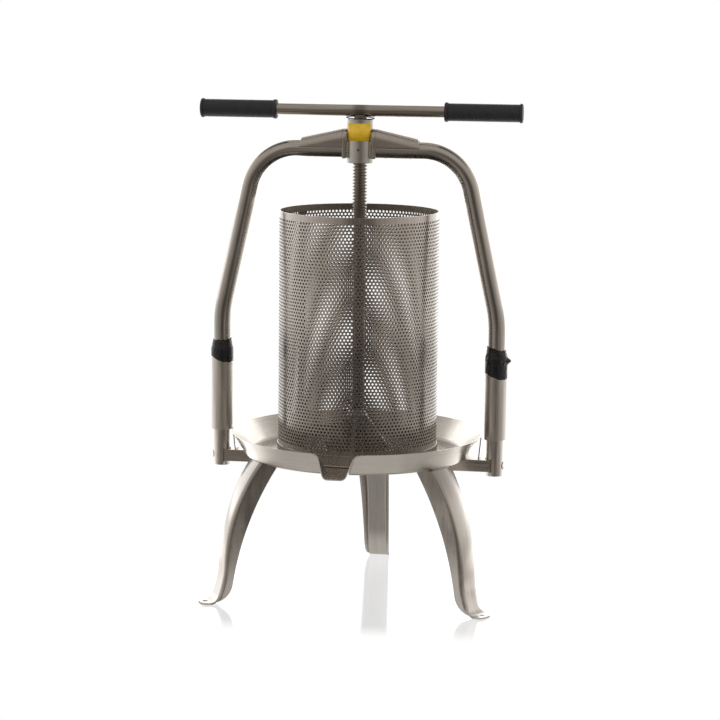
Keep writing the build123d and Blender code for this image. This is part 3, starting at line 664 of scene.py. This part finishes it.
# place to the side and front, radius, foot and head of the runs of weld beside the boss: the lower one is
# thick, and the upper one stays clear of the front
cheek_welds = [(14.4 * mm, 9.5 * mm, 2.3 * mm, 553.0 * mm, 573.4 * mm),
               (15.6 * mm, 9.9 * mm, 1.5 * mm, 572.6 * mm, 585.0 * mm)]
for side, hand in (("left", -1), ("right", 1)):
    clothe(arch_steel, "arch_tube_" + side)
    smoothed(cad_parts["arch_tube_" + side].data)
    finished("cheek_plate_" + side, "frame", bar_steel, edge=0.8 * mm)
    finished("gusset_" + side, "frame", bar_steel, edge=0.35 * mm)
    for n, (out, forth, radius, foot, head) in enumerate(cheek_welds, 1):
        for face, way in (("front", -1), ("back", 1)):
            path = [(hand * out, way * forth, z) for z in (foot, head)]
            weld_run(f"cheek_weld_{side}_{face}_{n}", path, radius, "frame", metal=bar_steel)

# Label: a piece of yellow vinyl film with round corners, stuck round the front of the housing. It is
# left bare.
label_low, label_high = 574.3 * mm, 595.8 * mm
label_from, label_to = radians(-68), radians(64)
label_corner = 3.0 * mm
label_columns = 96
label_r, label_thick = housing_r + 0.08 * mm, 0.1 * mm
# vinyl: dyed through and glossy, a little faded and scuffed where hands and oil have been
label_film = clouded_finish("yellow_vinyl_film", ("#c99c10", "#ecc42c"), patch=6, rough=(0.22, 0.42),
                            look={"Coat Weight": 0.3, "Coat Roughness": 0.2})


def thicken(film, thickness):
    """Give a film its thickness, outwards."""
    solid = film.modifiers.new("film", "SOLIDIFY")
    solid.thickness, solid.offset = thickness, 1.0


shape = bmesh.new()
columns = []
for k in range(label_columns + 1):
    t = label_from + (label_to - label_from) * k / label_columns
    end = min(t - label_from, label_to - t) * housing_r
    trim = label_corner - sqrt(label_corner ** 2 - max(0.0, label_corner - end) ** 2)
    columns.append([shape.verts.new((label_r * sin(t), -label_r * cos(t), z))
                    for z in (label_low + trim, label_high - trim)])
for near, far in zip(columns, columns[1:]):
    shape.faces.new((near[0], far[0], far[1], near[1]))
label = attach("frame", "housing_label", shape, label_film)
thicken(label, label_thick)

# Locking sleeves: lengths of stainless pipe that slide on the arch tubes and drop over the knuckles.
# Their cut ends are dressed smooth.
# pipe left duller than the tubes: one broad soft light down it
sleeve_steel = steel_finish("belt_ground_stainless_sleeve", "#eae5de", streak=(2.4, 2.4, 80), roughness=0.42,
                            depth=0.36)
for side in ("left", "right"):
    finished("locking_sleeve_" + side, "sleeve_" + side, sleeve_steel, edge=0.4 * mm)

# Cuffs: a wrap of black plastic film shrunk over the mouth of each sleeve, creased and glossy, its
# edges torn unevenly.
cuff_columns, cuff_rows = 120, 44
cuff_thickness, on_sleeve, on_tube = 0.25 * mm, 0.25 * mm, 0.35 * mm
# how far the edges wander and tear, and how quickly round the cuff
foot_wander, foot_waves = 2.0 * mm, 2.2
head_drop, head_wander, head_waves = 0.6 * mm, 1.4 * mm, 2.6
head_nicks, nick_waves = 1.2 * mm, 7.0
cuff_tear, tear_from = 5.5 * mm, 0.3
cuff_slants = {"left": 0.8 * mm, "right": -2.6 * mm}
# folds stand out least over the sleeve, with finer ones among them, and the right cuff has a nub of film at
# its outer side
fold_height, fold_least, fold_size, fold_waves = 0.7 * mm, 0.4, 7 * mm, 3.2
fine_share, fine_waves = 0.5, 2.3
cuff_nubs = {"left": 0.0, "right": 4.5 * mm}
nub_z, nub_half, nub_turn = 303.5 * mm, 3.2 * mm, 0.22
# plastic film: black through and glossy, with creases that catch thin bright lines of light
film_black, tree, place = new_material("creased_black_film")
crease = add_node(tree, "TexNoise", {
    "Vector": place, "Scale": 1 / (5 * mm), "Detail": 1.2, "Distortion": 0.9})
hues = add_node(tree, "Mix", {
    0: crease["Fac"], 6: linear("#0e0f10"), 7: linear("#1e1f22")}, data_type="RGBA")
shine = add_node(tree, "MapRange", {"Value": crease["Fac"], "To Min": 0.1, "To Max": 0.28})
relief = add_node(tree, "Bump", {"Height": crease["Fac"], "Strength": 0.9, "Distance": 1.2 * mm})
film = add_node(tree, "BsdfPrincipled", {"Base Color": hues[2], "Roughness": shine[0], "Normal": relief[0]})
add_node(tree, "OutputMaterial", {"Surface": film[0]})

for side, seed in (("left", 3.0), ("right", 11.0)):
    low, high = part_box("sleeve_cuff_" + side)
    sleeve_low, sleeve_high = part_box("locking_sleeve_" + side)
    axis_x = (sleeve_low[0] + sleeve_high[0]) / 2
    sleeve_r = (sleeve_high[0] - sleeve_low[0]) / 2
    shape = bmesh.new()
    grid = []
    for i in range(cuff_rows + 1):
        row = []
        for t in round_turns(cuff_columns):
            way = Vector((cos(t), sin(t), 0))
            foot = low[2] + foot_wander * noise.noise(way * foot_waves + Vector((0, 0, seed)))
            foot += cuff_tear * max(0.0, tear_from - way.x)
            head = high[2] - head_drop
            head += head_wander * noise.noise(way * head_waves + Vector((0, 0, seed + 5)))
            head += head_nicks * noise.noise(way * nick_waves + Vector((0, 0, seed + 9)))
            head += cuff_slants[side] * way.x
            z = foot + (head - foot) * i / cuff_rows
            rise = ease((z - sleeve_high[2]) / (high[2] - sleeve_high[2]))
            r = (sleeve_r + on_sleeve) * (1 - rise) + (tube_r + on_tube) * rise
            at = way * fold_waves + Vector((0, 0, z / fold_size + seed))
            fold = abs(noise.noise(at)) + fine_share * abs(noise.noise(at * fine_waves))
            r += fold_height * (1 - fold) * (fold_least + (1 - fold_least) * rise)
            aside, up = min(t, 2 * pi - t) / nub_turn, (z - nub_z) / nub_half
            r += cuff_nubs[side] * exp(-aside ** 2) * exp(-up ** 2)
            row.append(shape.verts.new((axis_x + r * way.x, r * way.y, z)))
        grid.append(row)
    for near, far in zip(grid, grid[1:]):
        join(shape, near, far)
    cuff = attach("sleeve_" + side, "film_cuff_" + side, shape, film_black, sharp_from=80)
    thicken(cuff, cuff_thickness)
    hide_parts("sleeve_cuff_" + side)

# Cage wall: stainless sheet perforated with round holes in staggered rows, plain at its top and foot,
# rolled into a drum. It is built in three lengths that meet between holes.
cage_low, cage_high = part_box("cage_wall")
cage_r, cage_sheet, cage_lengths = 100.0 * mm, 1.2 * mm, 3
hole_columns = 132
hole_d, hole_sides = 3.175 * mm, 8
first_row, last_row = 201.0 * mm, 477.5 * mm
hole_pitch = 2 * pi * cage_r / hole_columns
row_pitch = hole_pitch * sqrt(3) / 2
zigzag = hole_pitch / (4 * sqrt(3))
hole_rows = int((last_row - first_row) / row_pitch) + 1
# a quarter of a pitch, which settles where front and back holes line up into light patches
drum_turn = hole_pitch / 4 / cage_r
# outside, the sheet darkens and browns towards its foot: fully below the first height, not above the second
cage_steel = steel_finish("rolled_perforated_stainless", "#e2dbd4", streak=(1.5, 1.5, 35), roughness=0.25,
                          mottle=0.07, darkening_heights=(300 * mm, 365 * mm))
# inside and in the holes the sheet is duller, and darker and browner with painted shade, for the dark inside
# of the drum
cage_inside_painted_shade = steel_finish("stainless_inside_painted_shade", "#978f86", streak=(1.5, 1.5, 35), roughness=0.4,
                             mottle=0.07)
# a hole and its share of the sheet, a six-sided cell, are the same all over
cell_turns = [radians(a) for a in (30, 90, 150, 210, 270, 330)]
hole_turns = [2 * pi * (s + 0.5) / hole_sides for s in range(hole_sides)]
cell_fill = zipped([(t, ("cell", n)) for n, t in enumerate(cell_turns)],
                   [(t, ("hole", n)) for n, t in enumerate(hole_turns)])


def perforated_length(name, first, count):
    """One length of the cage wall, from a column of holes on for so many columns."""
    flat, corner_at, faces, walls = [], {}, [], []

    def corner(line, k):
        """A cell's corner, on the zigzag line under a row, at a half column."""
        if (line, k) not in corner_at:
            up = 1 if (k + line) % 2 else -1
            corner_at[line, k] = len(flat)
            flat.append((k * hole_pitch / 2, first_row + (line - 0.5) * row_pitch + up * zigzag))
        return corner_at[line, k]

    for row in range(hole_rows):
        for column in range(first, first + count):
            k = 2 * column + row % 2
            u, v = k * hole_pitch / 2, first_row + row * row_pitch
            cell = [corner(row + 1, k + 1), corner(row + 1, k), corner(row + 1, k - 1),
                    corner(row, k - 1), corner(row, k), corner(row, k + 1)]
            hole = [len(flat) + n for n in range(hole_sides)]
            flat += [(u + hole_d / 2 * cos(t), v + hole_d / 2 * sin(t)) for t in hole_turns]
            at = {"cell": cell, "hole": hole}
            faces += [tuple(at[loop][n] for loop, n in triangle) for triangle in cell_fill]
            walls += [(hole[n], hole[(n + 1) % hole_sides]) for n in range(hole_sides)]
    for line, row, z in ((0, 0, cage_low[2]), (hole_rows, hole_rows - 1, cage_high[2])):
        halves = range(2 * first + row % 2 - 1, 2 * (first + count) + row % 2)
        edge = [corner(line, k) for k in halves]
        rim = [len(flat) + n for n in range(len(edge))]
        flat += [(k * hole_pitch / 2, z) for k in halves]
        for n in range(len(edge) - 1):
            band = (rim[n], rim[n + 1], edge[n + 1], edge[n])
            faces.append(band if line == 0 else tuple(reversed(band)))
    used = dict.fromkeys((a, b) for face in faces for a, b in zip(face, face[1:] + face[:1]))
    hole_edges = {edge for a, b in walls for edge in ((a, b), (b, a))}
    rims = [(a, b) for a, b in used if (b, a) not in used and (a, b) not in hole_edges]
    verts = [(r * cos(u / cage_r + drum_turn), r * sin(u / cage_r + drum_turn), v)
             for r in (cage_r, cage_r - cage_sheet) for u, v in flat]
    deep, outside = len(flat), len(faces)
    faces += [(b, a, a + deep, b + deep) for a, b in rims]
    # the inside and the holes' walls, from here on, take the painted shade
    bright = len(faces)
    faces += [tuple(n + deep for n in reversed(face)) for face in faces[:outside]]
    faces += [(a, b, b + deep, a + deep) for a, b in walls]
    mesh = bpy.data.meshes.new(name)
    mesh.from_pydata(verts, [], faces)
    mesh.materials.append(cage_steel)
    mesh.materials.append(cage_inside_painted_shade)
    mesh.polygons.foreach_set("material_index", [0 if n < bright else 1 for n in range(len(faces))])
    piece = show(smoothed(mesh, sharp_from=40))
    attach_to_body(piece, "cage")
    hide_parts("cage_wall")


per_length = hole_columns // cage_lengths
for n in range(cage_lengths):
    perforated_length(f"cage_sheet_{n + 1}", n * per_length, per_length)

# Cage hoop and seam: a flat steel band welded round the foot of the cage, its lower edge rolled to a
# bead, and the strip where the two ends of the rolled sheet lap and are spot-welded.
finished("cage_hoop", "cage", cage_steel, edge=0.3 * mm)
finished("cage_seam", "cage", cage_steel, edge=0.3 * mm)
hoop_low, hoop_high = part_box("cage_hoop")
bead_wire, bead_sunk = 1.0 * mm, 0.2 * mm
bead_r, bead_z = hoop_high[0] - bead_sunk, hoop_low[2] + bead_wire
bead = wire_ring("hoop_bead", bead_r, bead_wire, bead_z, cage_steel, "cage")

# Press plate: a turned stainless disc with a hub and four ribs welded on, and two pins through the hub
# that hold the screw's end. The disc is duller, and darker and browner with painted shade, for the dark
# inside the cage.
plate_steel = steel_finish("turned_stainless_plate", "#c9c4bd", streak=(60, 0.9, 0.9), roughness=0.26,
                           round_z=True)
plate_face_painted_shade = steel_finish("stainless_plate_painted_shade", "#8a8279", streak=(60, 0.9, 0.9), roughness=0.42,
                          round_z=True)
clothe(plate_face_painted_shade, "press_plate")
clothe(plate_steel, "plate_hub", "retaining_pins")
finished("plate_ribs", "plate", plate_steel, edge=0.4 * mm)

# Screw: a steel spindle with a trapezoidal right-hand thread, one start, plain where it turns in the
# hub and at the neck that carries the bar.
spindle_low, spindle_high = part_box("spindle")
crest_r = spindle_high[0]
root_r = crest_r - 1.9 * mm
lead = 4.0 * mm
thread_from, thread_to = 232.0 * mm, 601.5 * mm
turn_steps, spindle_steps = 28, 48
# a tooth's corners, by share of the lead and radius
tooth = [(0.00, root_r), (0.34, root_r), (0.50, crest_r), (0.84, crest_r)]
neck_r, neck_chamfer = 8.0 * mm, 0.5 * mm
neck_low, neck_high = housing_high[2] + 0.3 * mm, 604.3 * mm
# the groove that the hub's pins run in
groove_z, groove_half, groove_r = 198.0 * mm, 2.1 * mm, crest_r - 2.0 * mm
foot_chamfer, thread_runout = 0.6 * mm, 2 * mm
# where the plain ends stop inside the thread
foot_top, neck_foot = thread_from + 4 * mm, thread_to - 8 * mm
# machined steel: cut bright and darkened by a film of oil, which lies in shinier and duller patches
screw_steel = clouded_finish("oiled_machined_steel", ("#79736a", "#aba499"), patch=10, rough=(0.22, 0.4),
                             look={"Metallic": 1.0})

shape = bmesh.new()
steps = int((thread_to - thread_from) / lead - 1) * turn_steps
coil = []
for i in range(steps + 1):
    t = 2 * pi * i / turn_steps
    coil.append([shape.verts.new((r * cos(t), r * sin(t), thread_from + lead * (i / turn_steps + share)))
                 for share, r in tooth])
for i in range(steps):
    here, there = coil[i], coil[i + 1]
    for k in range(len(tooth) - 1):
        shape.faces.new((here[k], there[k], there[k + 1], here[k + 1]))
    if i + 1 + turn_steps <= steps:
        above, beyond = coil[i + turn_steps], coil[i + 1 + turn_steps]
        shape.faces.new((here[-1], there[-1], beyond[0], above[0]))
foot = shape.verts.new((0, 0, thread_from))
loop = [turn[0] for turn in coil[:turn_steps + 1]] + coil[0][:0:-1]
for a, b in zip(loop, loop[1:] + loop[:1]):
    shape.faces.new((foot, b, a))
head = shape.verts.new((0, 0, thread_from + lead * (steps / turn_steps + 1)))
loop = [turn[-1] for turn in coil[steps - turn_steps:]] + coil[-1][-2::-1]
for a, b in zip(loop, loop[1:] + loop[:1]):
    shape.faces.new((head, a, b))
thread = attach("screw", "screw_thread", shape, screw_steel, sharp_from=30)


def spun(name, outline, steps, axis, material, body, sharp_from=35):
    """A turned piece: an outline of (radius, place along the axis), from axis to axis, spun round X or Z."""
    shape = bmesh.new()
    rings = []
    for r, along in outline:
        ring = [(r * cos(t), r * sin(t)) for t in round_turns(steps if r else 1)]
        rings.append([shape.verts.new((along, a, b) if axis == "X" else (a, b, along)) for a, b in ring])
    for near, far in zip(rings, rings[1:]):
        join(shape, near, far)
    bmesh.ops.recalc_face_normals(shape, faces=shape.faces)
    return attach(body, name, shape, material, sharp_from)


foot_outline = [
    (0, spindle_low[2]), (crest_r - foot_chamfer, spindle_low[2]), (crest_r, spindle_low[2] + foot_chamfer),
    (crest_r, groove_z - groove_half), (groove_r, groove_z - groove_half),
    (groove_r, groove_z + groove_half), (crest_r, groove_z + groove_half),
    (crest_r, thread_from - thread_runout), (root_r, thread_from), (root_r, foot_top), (0, foot_top)]
neck_outline = [
    (0, neck_foot), (root_r, neck_foot), (root_r, neck_low), (neck_r - neck_chamfer, neck_low),
    (neck_r, neck_low + neck_chamfer), (neck_r, neck_high - neck_chamfer),
    (neck_r - neck_chamfer, neck_high), (0, neck_high)]
spindle_foot = spun("spindle_foot", foot_outline, spindle_steps, "Z", screw_steel, "screw")
spindle_neck = spun("spindle_neck", neck_outline, spindle_steps, "Z", screw_steel, "screw")
for piece in (thread, spindle_foot, spindle_neck):
    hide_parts("spindle")

# Handle bar: a length of stainless tube laid on the neck of the screw and welded along both sides of it,
# which has left a dark bloom on the bar.
handle_steel = steel_finish("heat_tinted_stainless_bar", "#cdc6bd", streak=(80, 1.6, 1.6), roughness=0.2,
                            heat=13.0, depth=0.4)
clothe(handle_steel, "handle_bar")
smoothed(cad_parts["handle_bar"].data)
handle_low, handle_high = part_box("handle_bar")
handle_z = (handle_low[2] + handle_high[2]) / 2
handle_r = (handle_high[2] - handle_low[2]) / 2
bar_weld_r, bar_weld_half = 1.8 * mm, 6.5 * mm
bar_weld_y, bar_weld_z = 5.2 * mm, neck_high + 0.3 * mm
for face, way in (("front", -1), ("back", 1)):
    path = [(x, way * bar_weld_y, bar_weld_z) for x in (-bar_weld_half, bar_weld_half)]
    weld_run("bar_weld_" + face, path, bar_weld_r, "screw")

# Grips: moulded rubber sleeves pushed on the ends of the bar, closed outside, with fine rings all
# along and a raised collar at each end.
ring_pitch, ring_depth = 2.0 * mm, 0.35 * mm
collar_inner, collar_outer, collar_height = 4.0 * mm, 3.5 * mm, 1.0 * mm
grip_fit, first_ring, grip_steps = 0.2 * mm, 0.2 * mm, 56
for side, hand in (("left", -1), ("right", 1)):
    low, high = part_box("handle_grip_" + side)
    inner_x, outer_x = (low[0], high[0]) if hand > 0 else (high[0], low[0])
    collar_r = (high[2] - low[2]) / 2
    body_r = collar_r - collar_height
    groove = body_r - ring_depth
    length = abs(outer_x - inner_x)
    outline = [(0, 0), (handle_r + grip_fit, 0), (collar_r - 0.8 * mm, 0), (collar_r - 0.2 * mm, 0.3 * mm),
               (collar_r, 1.0 * mm), (collar_r, collar_inner - 0.7 * mm), (collar_r - 0.4 * mm, collar_inner)]
    for n in range(int((length - collar_inner - collar_outer) / ring_pitch)):
        at = collar_inner + first_ring + n * ring_pitch
        outline += [(groove, at), (groove, at + 0.25 * ring_pitch),
                    (body_r, at + 0.45 * ring_pitch), (body_r, at + 0.8 * ring_pitch)]
    start = length - collar_outer
    outline += [(groove, start), (collar_r - 0.3 * mm, start + 0.1 * mm), (collar_r, start + 0.6 * mm),
                (collar_r, length - 1.4 * mm), (collar_r - 0.5 * mm, length - 0.5 * mm),
                (collar_r - 1.6 * mm, length), (0, length)]
    outline = [(r, inner_x + hand * along) for r, along in outline]
    grip = spun("grip_" + side, outline, grip_steps, "X", rubber, "screw", sharp_from=50)
    for v in grip.data.vertices:
        v.co.z += handle_z
    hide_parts("handle_grip_" + side)
